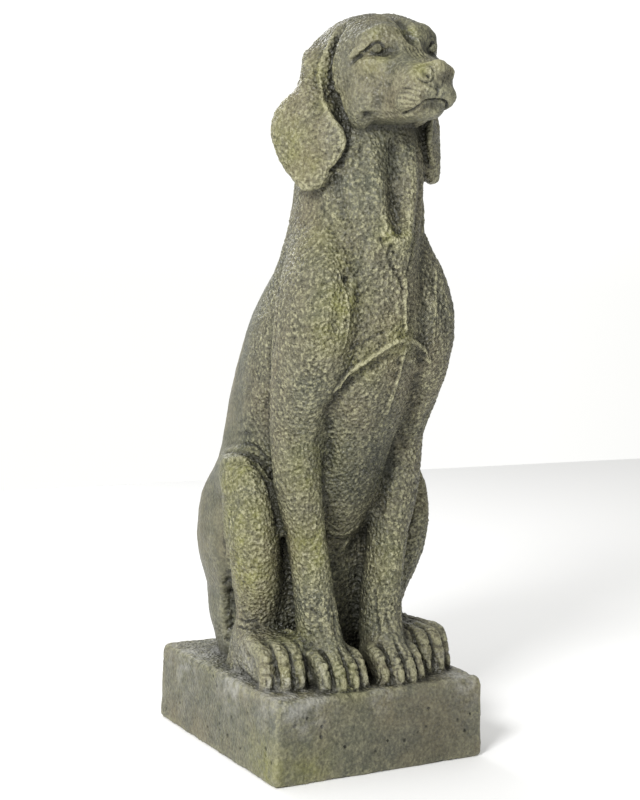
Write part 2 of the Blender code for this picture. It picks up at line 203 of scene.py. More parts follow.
def skin_points(piece, source="vertices", key="co"):
    values = np.empty(len(piece.data.vertices) * 3)
    getattr(piece.data, source).foreach_get(key, values)
    return values.reshape(-1, 3)


def opposite(x, y, z, lean):
    """The same place on the hound's other side; the head leans, so its sides differ in height."""
    return -x, y, z - 2 * lean * x


def carve(piece, strokes, lean=0.0):
    """Each stroke: sides (1 as drawn, 2 both), half width, depth (below nothing for a ridge), marks."""
    skin = BVHTree.FromObject(piece, bpy.context.evaluated_depsgraph_get())
    at = skin_points(piece)
    outward = skin_points(piece, "vertex_normals", "vector")
    move = np.zeros(len(at))
    for sides, width, depth, marks in strokes:
        for far in range(sides):
            drawn = [opposite(*m, lean) if far else m for m in marks]
            path = [skin.find_nearest(spot(*m))[0] for m in smooth_path(drawn)]
            path = np.array(path if len(path) > 1 else path * 2)
            reach = width * MODULE
            close = np.all((at > path.min(0) - reach) & (at < path.max(0) + reach), axis=1)
            close = np.flatnonzero(close)
            if not len(close):
                continue
            here = at[close]
            lengths = np.linalg.norm(np.diff(path, axis=0), axis=1)
            total = lengths.sum()
            nearest = np.full(len(here), np.inf)
            ends = np.ones(len(here))
            run = 0.0
            for start, end, length in zip(path[:-1], path[1:], lengths):
                span = end - start
                share = np.clip((here - start) @ span / max(length**2, 1e-12), 0, 1)
                gap = np.linalg.norm(here - start - share[:, None] * span, axis=1)
                closer = gap < nearest
                nearest[closer] = gap[closer]
                if total > 2 * END_LENGTH * reach:
                    along = run + share[closer] * length
                    to_end = np.minimum(along, total - along)
                    full = np.clip(to_end / (END_LENGTH * reach), 0, 1)
                    ends[closer] = END_DEPTH + (1 - END_DEPTH) * full
                run += length
            press = np.clip(1 - (nearest / reach) ** 2, 0, 1) ** 2
            move[close] += press * ends * depth * MODULE
    at -= outward * move[:, None]
    piece.data.vertices.foreach_set("co", at.ravel())
    piece.data.update()


carve(hound, (
    # Eye sockets, opened before the eyes are set, and the hollows before and behind them.
    (2, 1.05, 0.4, [(-2.8, -15.6, 64.1), (-3.3, -15.3, 64.1), (-3.6, -15.1, 64.0)]),
    (2, 1.0, 0.06, [(-5.0, -12.9, 63.0), (-4.8, -13.4, 62.2)]),
    (2, 0.8, 0.16, [(-2.8, -17.3, 62.2), (-2.9, -17.5, 61.3), (-3.1, -17.2, 60.4)]),
    # Brows.
    (2, 1.1, -0.3, [(-2.4, -15.0, 66.2), (-3.2, -14.7, 65.9), (-4.2, -14.0, 65.3)]),
    # Cheekbone under the eye.
    (2, 1.1, -0.12, [(-3.2, -15.9, 62.6), (-4.2, -14.6, 62.5)]),
), HEAD_LEAN)

# Eyes
# Each eye is a round ball under a heavy upper lid that droops past its outer corner, with a
# thinner lower lid. They are cast in one with the head.
EYE = (-3.3, -15.4, 64.12)
EYEBALL_RADIUS = 0.74
EYEBALL_SUNK = 0.5
UPPER_LID_SUNK = 0.12
LOWER_LID_SUNK = 0.2
INTO_HEAD = (0.6, 0.78, -0.1)
# Marks of the lids, each with the lid's radius there.
UPPER_LID = ((-4.8, -13.6, 63.62, 0.12), (-4.45, -14.15, 63.85, 0.2), (-4.1, -14.6, 64.2, 0.24),
             (-3.7, -14.95, 64.75, 0.25), (-3.25, -15.25, 65.0, 0.25), (-2.8, -15.5, 64.85, 0.23),
             (-2.4, -15.7, 64.3, 0.2))
LOWER_LID = ((-4.15, -14.6, 63.66, 0.18), (-3.75, -15.0, 63.4, 0.24), (-3.25, -15.3, 63.25, 0.26),
             (-2.8, -15.55, 63.35, 0.24), (-2.4, -15.7, 63.7, 0.2))


def tube(name, points, radii):
    """A tapered round bead of clay along the points, in metres."""
    line = bpy.data.curves.new(name, "CURVE")
    line.dimensions = "3D"
    line.bevel_depth = 1.0
    line.bevel_resolution = 3
    line.use_fill_caps = True
    spline = line.splines.new("POLY")
    spline.points.add(len(points) - 1)
    for knot, point, radius in zip(spline.points, points, radii):
        knot.co = (*point, 1)
        knot.radius = radius
    bead = bpy.data.objects.new(name, line)
    bpy.context.collection.objects.link(bead)
    bpy.ops.object.select_all(action="DESELECT")
    bead.select_set(True)
    bpy.context.view_layer.objects.active = bead
    bpy.ops.object.convert(target="MESH")
    return bpy.context.object


def ball(name, centre, radius):
    """A ball of clay; centre in metres, radius in modules."""
    bpy.ops.mesh.primitive_uv_sphere_add(
        segments=32, ring_count=20, radius=radius * MODULE, location=centre
    )
    made = bpy.context.object
    made.name = name
    bpy.ops.object.transform_apply(location=True, rotation=True, scale=True)
    return made


def add_eye(far):
    """Eyeball and lids of one side."""
    middle = spot(*(opposite(*EYE, HEAD_LEAN) if far else EYE))
    inward = Vector(INTO_HEAD).normalized()
    if far:
        inward.x = -inward.x
    made = [ball("eyeball", middle + inward * EYEBALL_SUNK * MODULE, EYEBALL_RADIUS)]
    for name, lid, sunk in (
        ("upper_lid", UPPER_LID, UPPER_LID_SUNK), ("lower_lid", LOWER_LID, LOWER_LID_SUNK),
    ):
        marks = [(*(opposite(*m[:3], HEAD_LEAN) if far else m[:3]), m[3]) for m in lid]
        rows = smooth_path(marks)
        points = [spot(*row[:3]) + inward * sunk * MODULE for row in rows]
        made.append(tube(name, points, rows[:, 3] * MODULE))
    return made


clay = add_eye(False) + add_eye(True)

# Plinth
# A plain block under the hound, a little narrower at its top where the mould draws off, with
# worn edges.
PLINTH_WIDTH = 0.249
PLINTH_DEPTH = 0.285
PLINTH_DRAFT = 0.002
PLINTH_EDGE = 0.004
bpy.ops.mesh.primitive_cube_add(size=1)
plinth = bpy.context.object
for corner in plinth.data.vertices:
    inset = PLINTH_DRAFT if corner.co.z > 0 else 0
    corner.co.x *= PLINTH_WIDTH - 2 * inset
    corner.co.y *= PLINTH_DEPTH - 2 * inset
    corner.co.z = PLINTH_TOP if corner.co.z > 0 else 0
apply(plinth, "BEVEL", width=PLINTH_EDGE, segments=3, limit_method="ANGLE")

# The casting's skin
# The statue leaves its mould in one piece, so hound, added clay and plinth become one closed
# skin. Its points stand 1.3 mm apart, fine enough for the carving that follows.
FINE_STEP = 0.0013
SKIN_STEP = FINE_STEP
bpy.ops.object.select_all(action="DESELECT")
for piece in [hound, plinth, *clay]:
    piece.select_set(True)
bpy.context.view_layer.objects.active = hound
bpy.ops.object.join()
apply(hound, "REMESH", mode="VOXEL", voxel_size=SKIN_STEP)
apply(hound, "SMOOTH", factor=0.5, iterations=3)

# Face
# Lids, furrowed brow, nose with ringed nostrils, lips, whisker beds, and the fine tooled hair of
# bridge and skull.
NOSTRIL = (-1.15, -20.75, 61.25)
NOSTRIL_ACROSS = (0.93, -0.37, 0.0)
NOSTRIL_UP = (0.0, 0.24, 0.97)
NOSTRIL_MARKS = 8


def nostril_ring(radius):
    """Marks round the nostril, closed on themselves."""
    marks = []
    for step in range(NOSTRIL_MARKS + 1):
        turn = step * 2 * math.pi / NOSTRIL_MARKS
        across, rise = radius * math.cos(turn), radius * math.sin(turn)
        marks.append(tuple(
            c + across * a + rise * u for c, a, u in zip(NOSTRIL, NOSTRIL_ACROSS, NOSTRIL_UP)
        ))
    return marks


def beside(marks, x=0.0, y=0.0, z=0.0):
    """The same line a little further along an axis."""
    return [(a + x, b + y, c + z) for a, b, c in marks]


face_strokes = [
    # Line under the upper lid, drooping past the outer corner, and the fold above the lid.
    (2, 0.2, 0.3, [(-2.6, -15.8, 64.15), (-2.9, -15.6, 64.58), (-3.3, -15.35, 64.7),
                   (-3.7, -15.05, 64.42), (-4.05, -14.65, 63.95), (-4.5, -14.1, 63.62)]),
    (2, 0.18, 0.18, [(-2.6, -15.7, 63.8), (-3.0, -15.5, 63.58), (-3.4, -15.25, 63.56),
                     (-3.8, -14.95, 63.74)]),
    (2, 0.35, 0.1, [(-2.4, -15.6, 64.9), (-3.2, -15.3, 65.25), (-4.0, -14.6, 64.8)]),
    # Furrow between the brows, broad and deep above the bridge, and up the forehead.
    (1, 1.0, 0.35, [(0.2, -16.4, 65.3), (0.0, -15.7, 66.0), (0, -14.2, 67.0)]),
    (1, 0.45, 0.18, [(-0.5, -15.9, 65.6), (-0.9, -15.3, 66.5), (-1.1, -14.6, 67.1)]),
    (1, 0.7, 0.16, [(0, -13.6, 67.4), (0, -11.0, 68.6), (0, -8.0, 68.9)]),
    # Nostril: a ring, a raised boss inside it, and the opening low on its inner side.
    (1, 0.2, 0.13, nostril_ring(0.88)),
    (1, 0.28, -0.07, nostril_ring(0.6)),
    (1, 0.22, 0.34, [(-0.85, -20.95, 60.9), (-0.95, -20.95, 61.05)]),
    # The far nostril, worn almost flat.
    (1, 0.3, 0.1, [(1.3, -20.9, 60.9), (1.7, -20.6, 61.4), (1.5, -20.5, 61.9)]),
    # Nose leather: its top edge, its side edges and the seam down its middle.
    (1, 0.5, -0.22, [(-1.1, -20.4, 62.2), (0.0, -20.8, 62.4), (1.1, -20.6, 62.4)]),
    (1, 1.1, -0.4, [(0.4, -20.9, 62.0), (1.2, -20.8, 62.0), (1.9, -20.3, 61.8)]),
    (1, 0.45, 0.15, [(-1.2, -19.6, 62.5), (0.0, -19.7, 62.9), (1.2, -19.7, 62.7)]),
    (1, 0.22, 0.14, [(-1.2, -20.9, 60.3), (-0.8, -21.1, 60.0), (-0.3, -21.2, 59.8),
                     (0.0, -21.2, 59.5)]),
    (1, 0.22, 0.1, [(0.0, -21.2, 59.6), (0.5, -21.2, 60.2), (0.9, -21.0, 60.9)]),
    (1, 0.2, 0.2, [(0, -21.2, 60.2), (0, -21.2, 59.6), (-0.1, -21.0, 59.0)]),
    # Lip line: cut under the muzzle, fading along the flew, with the mouth's corner as a hole.
    (2, 0.24, 0.34, [(0.0, -20.8, 58.85), (-0.6, -20.8, 58.85), (-1.3, -20.8, 58.5),
                     (-1.8, -20.2, 58.0), (-2.1, -19.3, 57.7), (-2.3, -18.4, 57.5)]),
    (2, 0.4, 0.07, [(-2.3, -18.4, 57.5), (-2.7, -16.4, 57.6), (-3.3, -15.0, 57.7)]),
    (2, 0.42, 1.0, [(-3.8, -14.6, 57.8)]),
    (2, 0.5, -0.12, [(-3.2, -15.4, 58.3), (-3.9, -14.3, 58.4), (-4.2, -13.5, 57.7)]),
    # Fuller upper lip over the line, and the chin.
    (2, 1.0, -0.2, [(-1.2, -20.9, 59.6), (-2.2, -19.9, 58.9), (-2.8, -18.2, 58.5)]),
    # Groove in front of the ear, down round its free edge, which stands clear of the neck.
    (2, 0.55, 0.5, [(-4.4, -9.4, 66.3), (-4.8, -9.6, 65.0), (-5.0, -9.6, 63.5),
                    (-5.0, -9.5, 62.0), (-4.9, -9.8, 60.5), (-5.1, -10.9, 59.2),
                    (-4.9, -11.6, 58.0), (-4.4, -12.0, 56.5), (-4.6, -12.2, 54.4),
                    (-5.2, -11.9, 53.0), (-6.2, -11.5, 52.0)]),
    (2, 0.9, 0.5, [(-5.1, -10.7, 59.6), (-5.1, -11.2, 58.5), (-4.8, -11.7, 57.5)]),
    # Rolled front rim of the ear, and folds down its flap.
    (2, 0.5, -0.24, [(-5.0, -9.2, 65.8), (-5.6, -8.9, 64.0), (-5.8, -8.7, 62.7),
                     (-5.9, -9.0, 61.1), (-6.1, -10.1, 59.5), (-6.0, -11.2, 57.9),
                     (-5.4, -11.9, 56.4), (-5.0, -12.2, 54.9)]),
    (2, 1.1, 0.14, [(-7.6, -6.6, 62.4), (-8.4, -7.3, 60.0), (-8.4, -8.6, 57.4)]),
    (2, 0.9, 0.12, [(-6.6, -9.6, 60.0), (-7.4, -10.6, 57.6), (-7.6, -10.8, 55.0)]),
]
# Whisker beds: four short rows of bristles on each side of the muzzle, shorter on the far side.
WHISKER_ROWS = 4
WHISKER_GAP = 0.48
for row in range(WHISKER_ROWS):
    line = [(-2.9, -18.9, 60.2), (-2.6, -20.0, 60.05), (-2.2, -20.7, 59.85), (-1.7, -21.0, 59.7)]
    line = beside(line[: 4 - row // 3], z=-WHISKER_GAP * row)
    for drawn in (line, [opposite(*m, HEAD_LEAN) for m in line[:2]]):
        face_strokes.append((1, 0.17, -0.08, drawn))
        face_strokes.append((1, 0.15, 0.07, beside(drawn, z=-WHISKER_GAP / 2)))
# Hair lines along the bridge, and arched over the brows.
for row in range(-2, 3):
    line = [(0.45 * row, -16.7, 64.4), (0.42 * row, -18.2, 63.5), (0.36 * row, -19.5, 62.9)]
    face_strokes.append((1, 0.15, 0.11, line))
for row in range(5):
    line = [(-3.6, -12.2, 66.7), (-2.8, -13.2, 67.2), (-1.9, -14.0, 67.2), (-1.2, -14.8, 66.7)]
    face_strokes.append((2, 0.15, 0.1, beside(line, y=0.6 * row, z=0.3 * row)))
carve(hound, face_strokes, HEAD_LEAN)

# Neck, breast and belly
# Two folds of loose skin hang under the throat and run out in a V above the breastbone; the
# breast muscles end in a raised arch, and the belly is tucked up between the forelegs.
carve(hound, (
    # Hollow of the throat and its folds.
    (1, 2.0, 0.24, [(-0.9, -14.0, 56.0), (-0.7, -13.6, 52.0), (-0.4, -13.8, 49.0),
                   (-0.1, -14.5, 47.0)]),
    (1, 1.2, -0.16, [(-2.9, -13.2, 54.0), (-2.3, -13.8, 50.0), (-1.5, -14.5, 47.0)]),
    (1, 1.4, -0.28, [(2.2, -14.2, 56.0), (2.2, -13.7, 51.8), (1.6, -14.4, 48.0),
                     (1.0, -15.0, 46.4)]),
    (1, 0.4, 0.24, [(-2.2, -14.4, 46.2), (-1.4, -15.0, 44.7), (-1.0, -15.1, 43.4),
                    (0.0, -15.3, 41.8), (0.6, -15.2, 40.9)]),
    (1, 0.6, 0.32, [(-1.4, -14.9, 46.0), (-0.9, -15.2, 45.0), (-0.3, -15.3, 43.4)]),
    (1, 0.35, 0.14, [(1.8, -14.6, 45.8), (1.6, -15.0, 43.8), (0.9, -15.2, 42.2)]),
    # Muscle down the side of the neck, and a crease in front of the shoulder.
    (2, 1.1, -0.2, [(-4.3, -12.0, 55.0), (-4.0, -12.7, 52.0), (-3.6, -13.1, 49.0),
                    (-3.4, -13.2, 46.8)]),
    (2, 0.8, 0.2, [(-5.3, -11.2, 52.5), (-4.9, -11.9, 49.0), (-4.4, -12.5, 45.6)]),
    (2, 0.8, -0.15, [(-6.4, -9.8, 50.6), (-5.6, -11.1, 48.6), (-5.0, -12.1, 46.4)]),
    # Breastbone.
    (1, 0.38, -0.36, [(0.5, -15.3, 42.5), (0.8, -15.2, 40.7), (0.6, -15.2, 39.4),
                      (0.8, -15.0, 38.0), (1.0, -14.8, 36.4)]),
    (1, 0.38, -0.28, [(1.1, -14.7, 35.0), (1.1, -13.9, 32.4), (0.9, -13.0, 30.0),
                      (0.7, -12.0, 28.0)]),
    (1, 0.8, 0.12, [(-0.8, -15.3, 41.0), (-0.7, -15.2, 37.5)]),
    (1, 0.8, 0.12, [(2.2, -15.0, 41.0), (2.2, -14.8, 37.5)]),
    # Arch of the breast, with its crest, and the hollow under it.
    (1, 0.38, -0.4, [(1.2, -14.8, 35.9), (-0.3, -15.0, 35.5), (-1.7, -14.6, 34.6),
                     (-3.2, -13.5, 33.3), (-4.4, -12.2, 32.0), (-5.3, -11.4, 30.7)]),
    (1, 0.7, 0.2, [(0.4, -14.7, 34.5), (-1.6, -14.2, 33.4), (-3.2, -13.1, 32.0),
                   (-4.4, -11.8, 30.6)]),
    (1, 0.38, -0.28, [(1.4, -14.7, 35.8), (3.0, -14.0, 35.4), (4.5, -13.4, 34.6),
                    (5.4, -12.8, 33.2)]),
    (1, 0.7, 0.18, [(2.0, -14.4, 34.5), (3.6, -13.6, 33.9), (4.7, -12.8, 32.6)]),
    (1, 0.28, 0.12, [(-1.2, -14.9, 36.7), (-3.0, -14.1, 35.7), (-4.6, -13.2, 34.6)]),
    # Vein down the far breast.
    (2, 0.25, -0.16, [(5.9, -13.2, 43.0), (5.3, -13.9, 40.0), (5.1, -14.0, 37.5),
                      (5.4, -13.5, 34.8)]),
    # Hollow between breast and shoulder, with one old pit in it.
    (2, 1.1, 0.25, [(-4.9, -12.9, 43.4), (-5.2, -13.4, 41.4), (-5.9, -13.8, 39.6),
                    (-6.5, -13.9, 37.6), (-6.9, -13.6, 35.4)]),
    (1, 0.24, 0.4, [(-4.9, -13.3, 41.9), (-5.1, -13.2, 41.4)]),
    # Rear edge of the shoulder and the elbow.
    (2, 0.8, 0.2, [(-6.6, -3.4, 44.2), (-8.9, -6.2, 40.8), (-9.7, -7.0, 36.4),
                   (-9.3, -5.2, 32.4), (-8.6, -3.0, 28.4)]),
    # Lower end of the belly.
    (1, 0.45, -0.14, [(-2.4, -5.2, 16.4), (-1.8, -5.3, 15.2), (-0.2, -5.4, 14.8),
                     (1.2, -5.6, 15.2), (2.0, -5.6, 16.4)]),
    (1, 0.6, 0.14, [(-2.2, -5.2, 14.4), (-0.2, -5.2, 13.8), (1.8, -5.2, 14.4)]),
))

# Legs
# The folded knee ends in a crease under the flank, the shank is parted from the thigh by a deep
# pitted groove, and sinews run down the wrists.
leg_strokes = [
    (2, 0.6, 0.35, [(-10.6, 3.4, 23.2), (-10.1, 0.8, 23.6), (-9.3, -1.0, 23.5),
                    (-8.4, -2.4, 22.6)]),
    (2, 0.6, -0.25, [(-11.2, 1.8, 22.2), (-10.9, 0.0, 22.6), (-10.2, -1.2, 22.7),
                     (-9.6, -1.9, 22.4)]),
    (2, 0.5, 0.12, [(-9.2, 2.4, 24.9), (-8.8, 0.4, 25.3), (-8.2, -1.3, 24.9)]),
    (2, 0.4, 0.1, [(-8.8, 1.8, 26.2), (-8.4, 0.0, 26.9)]),
    (2, 0.3, 0.14, [(-9.3, 0.6, 24.3), (-8.5, -1.4, 23.9), (-7.8, -2.5, 22.6)]),
    # Between the knee and the foreleg.
    (2, 0.5, 0.4, [(-9.6, -1.9, 22.6), (-8.7, -3.1, 21.4), (-8.2, -4.4, 19.6),
                   (-7.9, -4.9, 17.6), (-7.5, -5.0, 15.6)]),
    # Between thigh and shank.
    (2, 1.3, 0.75, [(-11.4, -0.9, 13.8), (-11.1, 0.2, 11.8), (-10.5, 1.3, 9.6), (-9.9, 2.2, 7.0),
                   (-9.5, 2.7, 4.6), (-9.3, 3.0, 1.8)]),
    # Heel creases.
    (2, 0.22, 0.14, [(-9.9, -0.3, 5.5), (-9.5, -2.0, 5.5), (-8.6, -3.0, 5.8)]),
    (2, 0.22, 0.14, [(-10.1, -0.2, 4.7), (-9.7, -2.4, 4.8), (-8.6, -3.3, 5.1)]),
    # Sinews down the wrist.
    (2, 0.34, 0.16, [(-5.6, -8.2, 8.2), (-5.1, -9.0, 6.8), (-4.8, -9.9, 4.9)]),
    (2, 0.34, 0.16, [(-3.4, -8.9, 8.6), (-3.0, -9.4, 6.8), (-3.3, -10.2, 4.9)]),
    (2, 0.3, 0.16, [(-1.9, -8.0, 9.4), (-1.7, -8.8, 7.4), (-2.1, -9.6, 4.6)]),
    (2, 0.4, -0.08, [(-4.6, -8.9, 9.0), (-4.2, -9.4, 6.8), (-4.0, -10.2, 4.7)]),
    (2, 0.4, -0.07, [(-2.5, -8.6, 8.6), (-2.3, -9.2, 6.6), (-2.6, -10.0, 4.7)]),
    (2, 0.4, 0.1, [(-5.4, -8.0, 7.6), (-4.4, -8.9, 7.2), (-3.4, -9.0, 7.9)]),
]
# Pits left in the groove between thigh and shank, scattered round a line from its top to its foot.
GROOVE_PITS = 44
GROOVE_TOP = np.array([-11.2, 0.2, 13.6])
GROOVE_FOOT = np.array([-9.2, 3.2, 2.0])
PIT_SCATTER = 0.9
generator = np.random.default_rng(7)
for share in np.linspace(0, 1, GROOVE_PITS):
    place = GROOVE_TOP + (GROOVE_FOOT - GROOVE_TOP) * share
    nudge = generator.uniform(-PIT_SCATTER, PIT_SCATTER, 3)
    leg_strokes.append((2, 0.4, 0.34, [tuple(place + nudge)]))
carve(hound, leg_strokes)

# Paws
# Four toes each, parted by deep grooves, with wrinkled knuckles and a blunt claw at each tip.
# Middle, splay, tip, half width and height of a fore and a hind paw.
PAWS = ((3.45, 0.0, -13.2, 2.85, 4.4), (7.6, 0.9, -10.8, 3.05, 5.8))
# Where the toes stand across a paw, and its knuckle creases up it, as shares of it.
TOES = (-0.76, -0.26, 0.26, 0.76)
CREASES = (0.86, 0.66, 0.46, 0.3)
OUTER_TOES_BACK = 0.9
paw_strokes = []
for x, splay, tip, half, height in PAWS:
    for first, second in zip(TOES[:-1], TOES[1:]):
        groove = -(x + splay + (first + second) / 2 * half)
        paw_strokes.append((2, 0.26, 0.24, [
            (groove, tip + 3.2, height * 0.8),
            (groove, tip + 1.8, height * 0.6), (groove, tip + 0.6, height * 0.1),
        ]))
    for share in TOES:
        toe = -(x + splay + share * half)
        reach = tip + (OUTER_TOES_BACK if share in (TOES[0], TOES[-1]) else 0)
        for crease in CREASES:
            up = crease + generator.uniform(-0.05, 0.05)
            bend = generator.uniform(-0.4, 0.4)
            paw_strokes.append((2, 0.22, generator.uniform(0.08, 0.18), [
                (toe - 0.5, reach + 1.1, height * up + bend), (toe, reach + 0.8, height * up),
                (toe + 0.5, reach + 1.1, height * up - bend),
            ]))
        paw_strokes.append((2, 0.6, -0.2, [(toe, reach + 0.6, height * 0.56)]))
        paw_strokes.append((2, 0.4, -0.26, [(toe, reach + 0.3, 1.2), (toe, reach, 0.5)]))
        for edge in (-0.42, 0.42):
            paw_strokes.append((2, 0.16, 0.14, [
                (toe + edge, reach + 0.3, 1.5), (toe + edge, reach, 0.5),
            ]))
# Lumps left between hind paw and foreleg.
paw_strokes += [
    (2, 0.4, -0.4, [(-6.3, -4.2, 5.2), (-6.3, -6.0, 5.0)]),
    (2, 0.5, -0.35, [(-6.2, -7.4, 4.0), (-6.5, -8.6, 3.0)]),
]
carve(hound, paw_strokes)

# Plinth faces
# The block's edges were knocked when it left the mould, and its faces have a few blow holes from
# air in the mix.
HALF_ACROSS = 12.25
HALF_ALONG = 14.05
KNOCKS = 15
BLOW_HOLES = 70
plinth_strokes = []


def on_side(side, share, nudge, inset, outset, height):
    """A mark on one of the block's sides: back and front are 0 and 1, left and right 2 and 3."""
    half, far = (HALF_ACROSS, HALF_ALONG) if side < 2 else (HALF_ALONG, HALF_ACROSS)
    along = share * (half - inset) + nudge
    far = (far + outset) * (-1 if side % 2 else 1)
    return (along, far, height) if side < 2 else (far, along, height)


for share in np.linspace(-1, 1, KNOCKS):
    for side in range(4):
        mark = on_side(side, share, generator.uniform(-0.5, 0.5), 0.05, 0, -0.1)
        knock = generator.uniform(0.03, 0.22)
        plinth_strokes.append((1, generator.uniform(0.3, 0.9), knock, [mark]))
for hole in range(BLOW_HOLES):
    share = generator.uniform(-1, 1)
    mark = on_side(hole % 4, share, 0, 0.25, 0.15, -generator.uniform(0.4, 8.2))
    plinth_strokes.append((1, generator.uniform(0.16, 0.32), generator.uniform(0.1, 0.3), [mark]))
carve(hound, plinth_strokes)

# Stone surface
# The mould keeps the modeller's stippled tooling, some 5 mm from dent to dent, over broad
# unevenness; the back, the flat of the thigh and the plinth's sides are plainer.
NECK_FOOT = 48
CHIN = 55
ANKLE = 7
BACK_STARTS = -1.5
FACE_STARTS = -10.5
FEET_START = -5
TOP_STARTS = 0.4
SIDES_START = -0.25
RIM_ACROSS = 11.7
RIM_ALONG = 13.5
HEAD_AND_TOP_TOOLING = 0.8
SIDES_TOOLING = 0.3
BACK_PLAINER = 0.75
FACE_PLAINER = 0.5
FEET_PLAINER = 0.45
# Each of these runs in over two to four modules.
across, along, above = (skin_points(hound) / MODULE).T
above = above - PLINTH_TOP / MODULE
back_share = np.clip((along - BACK_STARTS) / 4, 0, 1)
face_share = np.clip((above - CHIN) / 2, 0, 1) * np.clip((FACE_STARTS - along) / 2, 0, 1)
feet_share = np.clip((ANKLE - above) / 3, 0, 1) * np.clip((FEET_START - along) / 2, 0, 1)
tooled = np.where(above > NECK_FOOT, HEAD_AND_TOP_TOOLING, 1 - BACK_PLAINER * back_share)
tooled = tooled * (1 - FACE_PLAINER * face_share - FEET_PLAINER * feet_share)
tooled = np.where(above < TOP_STARTS, HEAD_AND_TOP_TOOLING, tooled)
rim = (above < TOP_STARTS) & ((np.abs(across) > RIM_ACROSS) | (np.abs(along) > RIM_ALONG))
tooled = np.where((above < SIDES_START) | rim, SIDES_TOOLING, tooled)


def keep_on_skin(piece, name, values):
    kept = piece.data.attributes.new(name, "FLOAT", "POINT")
    kept.data.foreach_set("value", np.asarray(values, np.float32))


TOOLING_LEVELS = 20
group = hound.vertex_groups.new(name="tooled")
for level in range(1, TOOLING_LEVELS + 1):
    members = np.flatnonzero(np.round(tooled * TOOLING_LEVELS) == level)
    if len(members):
        group.add(members.tolist(), level / TOOLING_LEVELS, "REPLACE")
# Each pattern: spot size and height in metres, and where it is laid.
for name, size, strength, laid_on in (
    ("hand unevenness", 0.026, 0.0018, ""),
    ("tooling", 0.0040, 0.0019, "tooled"),
    ("grit", 0.0025, 0.0010, "tooled"),
):
    pattern = bpy.data.textures.new(name, "CLOUDS")
    pattern.noise_scale = size
    pattern.noise_depth = 1
    apply(hound, "DISPLACE", texture=pattern, texture_coords="LOCAL", strength=strength,
          mid_level=0.5, vertex_group=laid_on)
hound.vertex_groups.clear()

# Where the stain and the shade settle
# Thin dark stain runs into the hollows, fine and broad, and the shade that falls in them is painted
# with it; a dry brush leaves light on the ridges. How far each point stands out is kept on the skin,
# for the material to read.
FINE_TURNS = 10
FINE_HEIGHT = 0.0004
BROAD_TURNS = 160
BROAD_HEIGHT = 0.0012


def relief(piece, turns):
    """How far each point stands out from the skin smoothed by that many turns, in metres."""
    soft = piece.copy()
    soft.data = piece.data.copy()
    bpy.context.collection.objects.link(soft)
    apply(soft, "SMOOTH", factor=0.5, iterations=turns)
    out = skin_points(piece, "vertex_normals", "vector")
    height = ((skin_points(piece) - skin_points(soft)) * out).sum(axis=1)
    bpy.data.objects.remove(soft)
    return height


fineness = (FINE_STEP / SKIN_STEP) ** 2
keep_on_skin(hound, "fine", relief(hound, max(2, round(FINE_TURNS * fineness))) / FINE_HEIGHT)
keep_on_skin(hound, "broad", relief(hound, round(BROAD_TURNS * fineness)) / BROAD_HEIGHT)
keep_on_skin(hound, "tooled", tooled)

# Fewer faces
# The finished skin is thinned to what a library part may hold. The casting keeps inside the
# solid's box and stands flat on its underside.
TRIANGLES = 192000
HAIR = 0.00002
UNDERSIDE = 0.001
faces = sum(len(face.vertices) - 2 for face in hound.data.polygons)
apply(hound, "DECIMATE", ratio=TRIANGLES / faces)
at = skin_points(hound)
low = np.array(cad_box[0])
high = np.array(cad_box[1])
at = np.clip(at, low + HAIR, high - HAIR)
at[at[:, 2] < UNDERSIDE, 2] = low[2]
hound.data.vertices.foreach_set("co", at.ravel())
hound.data.update()

# Moss, stain, painted shade and painted sheen
# Moss has taken in sheltered places that stay damp and the dark stain was left on thicker in some;
# others are painted darker for their shade, and the plinth's top lighter for its sheen. Each spot is a
# place in modules, its reach and strength.
MOSS = (
    ((-8.8, -7.6, 55.0), 2.6, 0.8), ((-8.6, -6.0, 57.5), 2.2, 0.5), ((-7.4, -9.6, 53.0), 2.0, 0.6),
    ((-5.6, -9.0, 62.5), 1.6, 0.7), ((-5.9, -10.4, 59.0), 1.6, 0.5), ((-3.4, -15.0, 65.6), 0.9, 0.7),
    ((-3.6, -15.4, 62.6), 1.6, 0.5), ((-1.3, -20.2, 62.0), 1.3, 0.9), ((0.0, -18.0, 63.4), 1.6, 0.3),
    ((0.0, -15.4, 66.2), 1.3, 0.7), ((-5.6, -13.6, 39.6), 2.2, 1.0), ((-6.4, -13.4, 36.6), 2.2, 0.8),
    ((-5.6, -12.6, 43.6), 1.8, 0.5), ((-7.0, -11.0, 46.0), 2.6, 0.5), ((-1.2, -15.0, 46.4), 1.4, 0.8),
    ((1.0, -15.0, 46.0), 1.4, 0.8), ((0.4, -15.2, 35.8), 2.0, 0.8), ((-3.0, -13.6, 33.4), 2.0, 0.6),
    ((-10.6, -1.6, 20.6), 3.0, 1.0), ((-10.6, -3.6, 16.0), 3.4, 1.0), ((-10.6, -3.6, 11.0), 3.4, 0.9),
    ((-6.2, -9.6, 22.0), 3.4, 0.7), ((-5.4, -8.8, 14.0), 3.4, 0.9), ((-8.4, -10.6, 2.0), 2.2, 0.6),
    ((-3.8, -13.2, 1.6), 2.0, 0.7), ((-6.4, -6.6, 4.4), 2.4, 0.6), ((4.0, -9.4, 12.0), 3.0, 0.4),
    ((-12.2, -12.0, -7.0), 3.2, 0.8), ((-9.0, -14.2, -7.6), 2.8, 0.6), ((8.6, -7.4, 55.0), 2.6, 0.6),
    ((6.0, 9.0, 24.0), 4.0, 0.5), ((-2.0, 5.0, 44.0), 4.0, 0.4), ((10.6, -1.6, 20.6), 3.0, 0.6),
    ((12.2, 6.0, -6.4), 3.4, 0.6), ((1.0, 14.2, -6.8), 4.0, 0.6), ((-3.0, 9.6, 2.0), 3.0, 0.6),
)
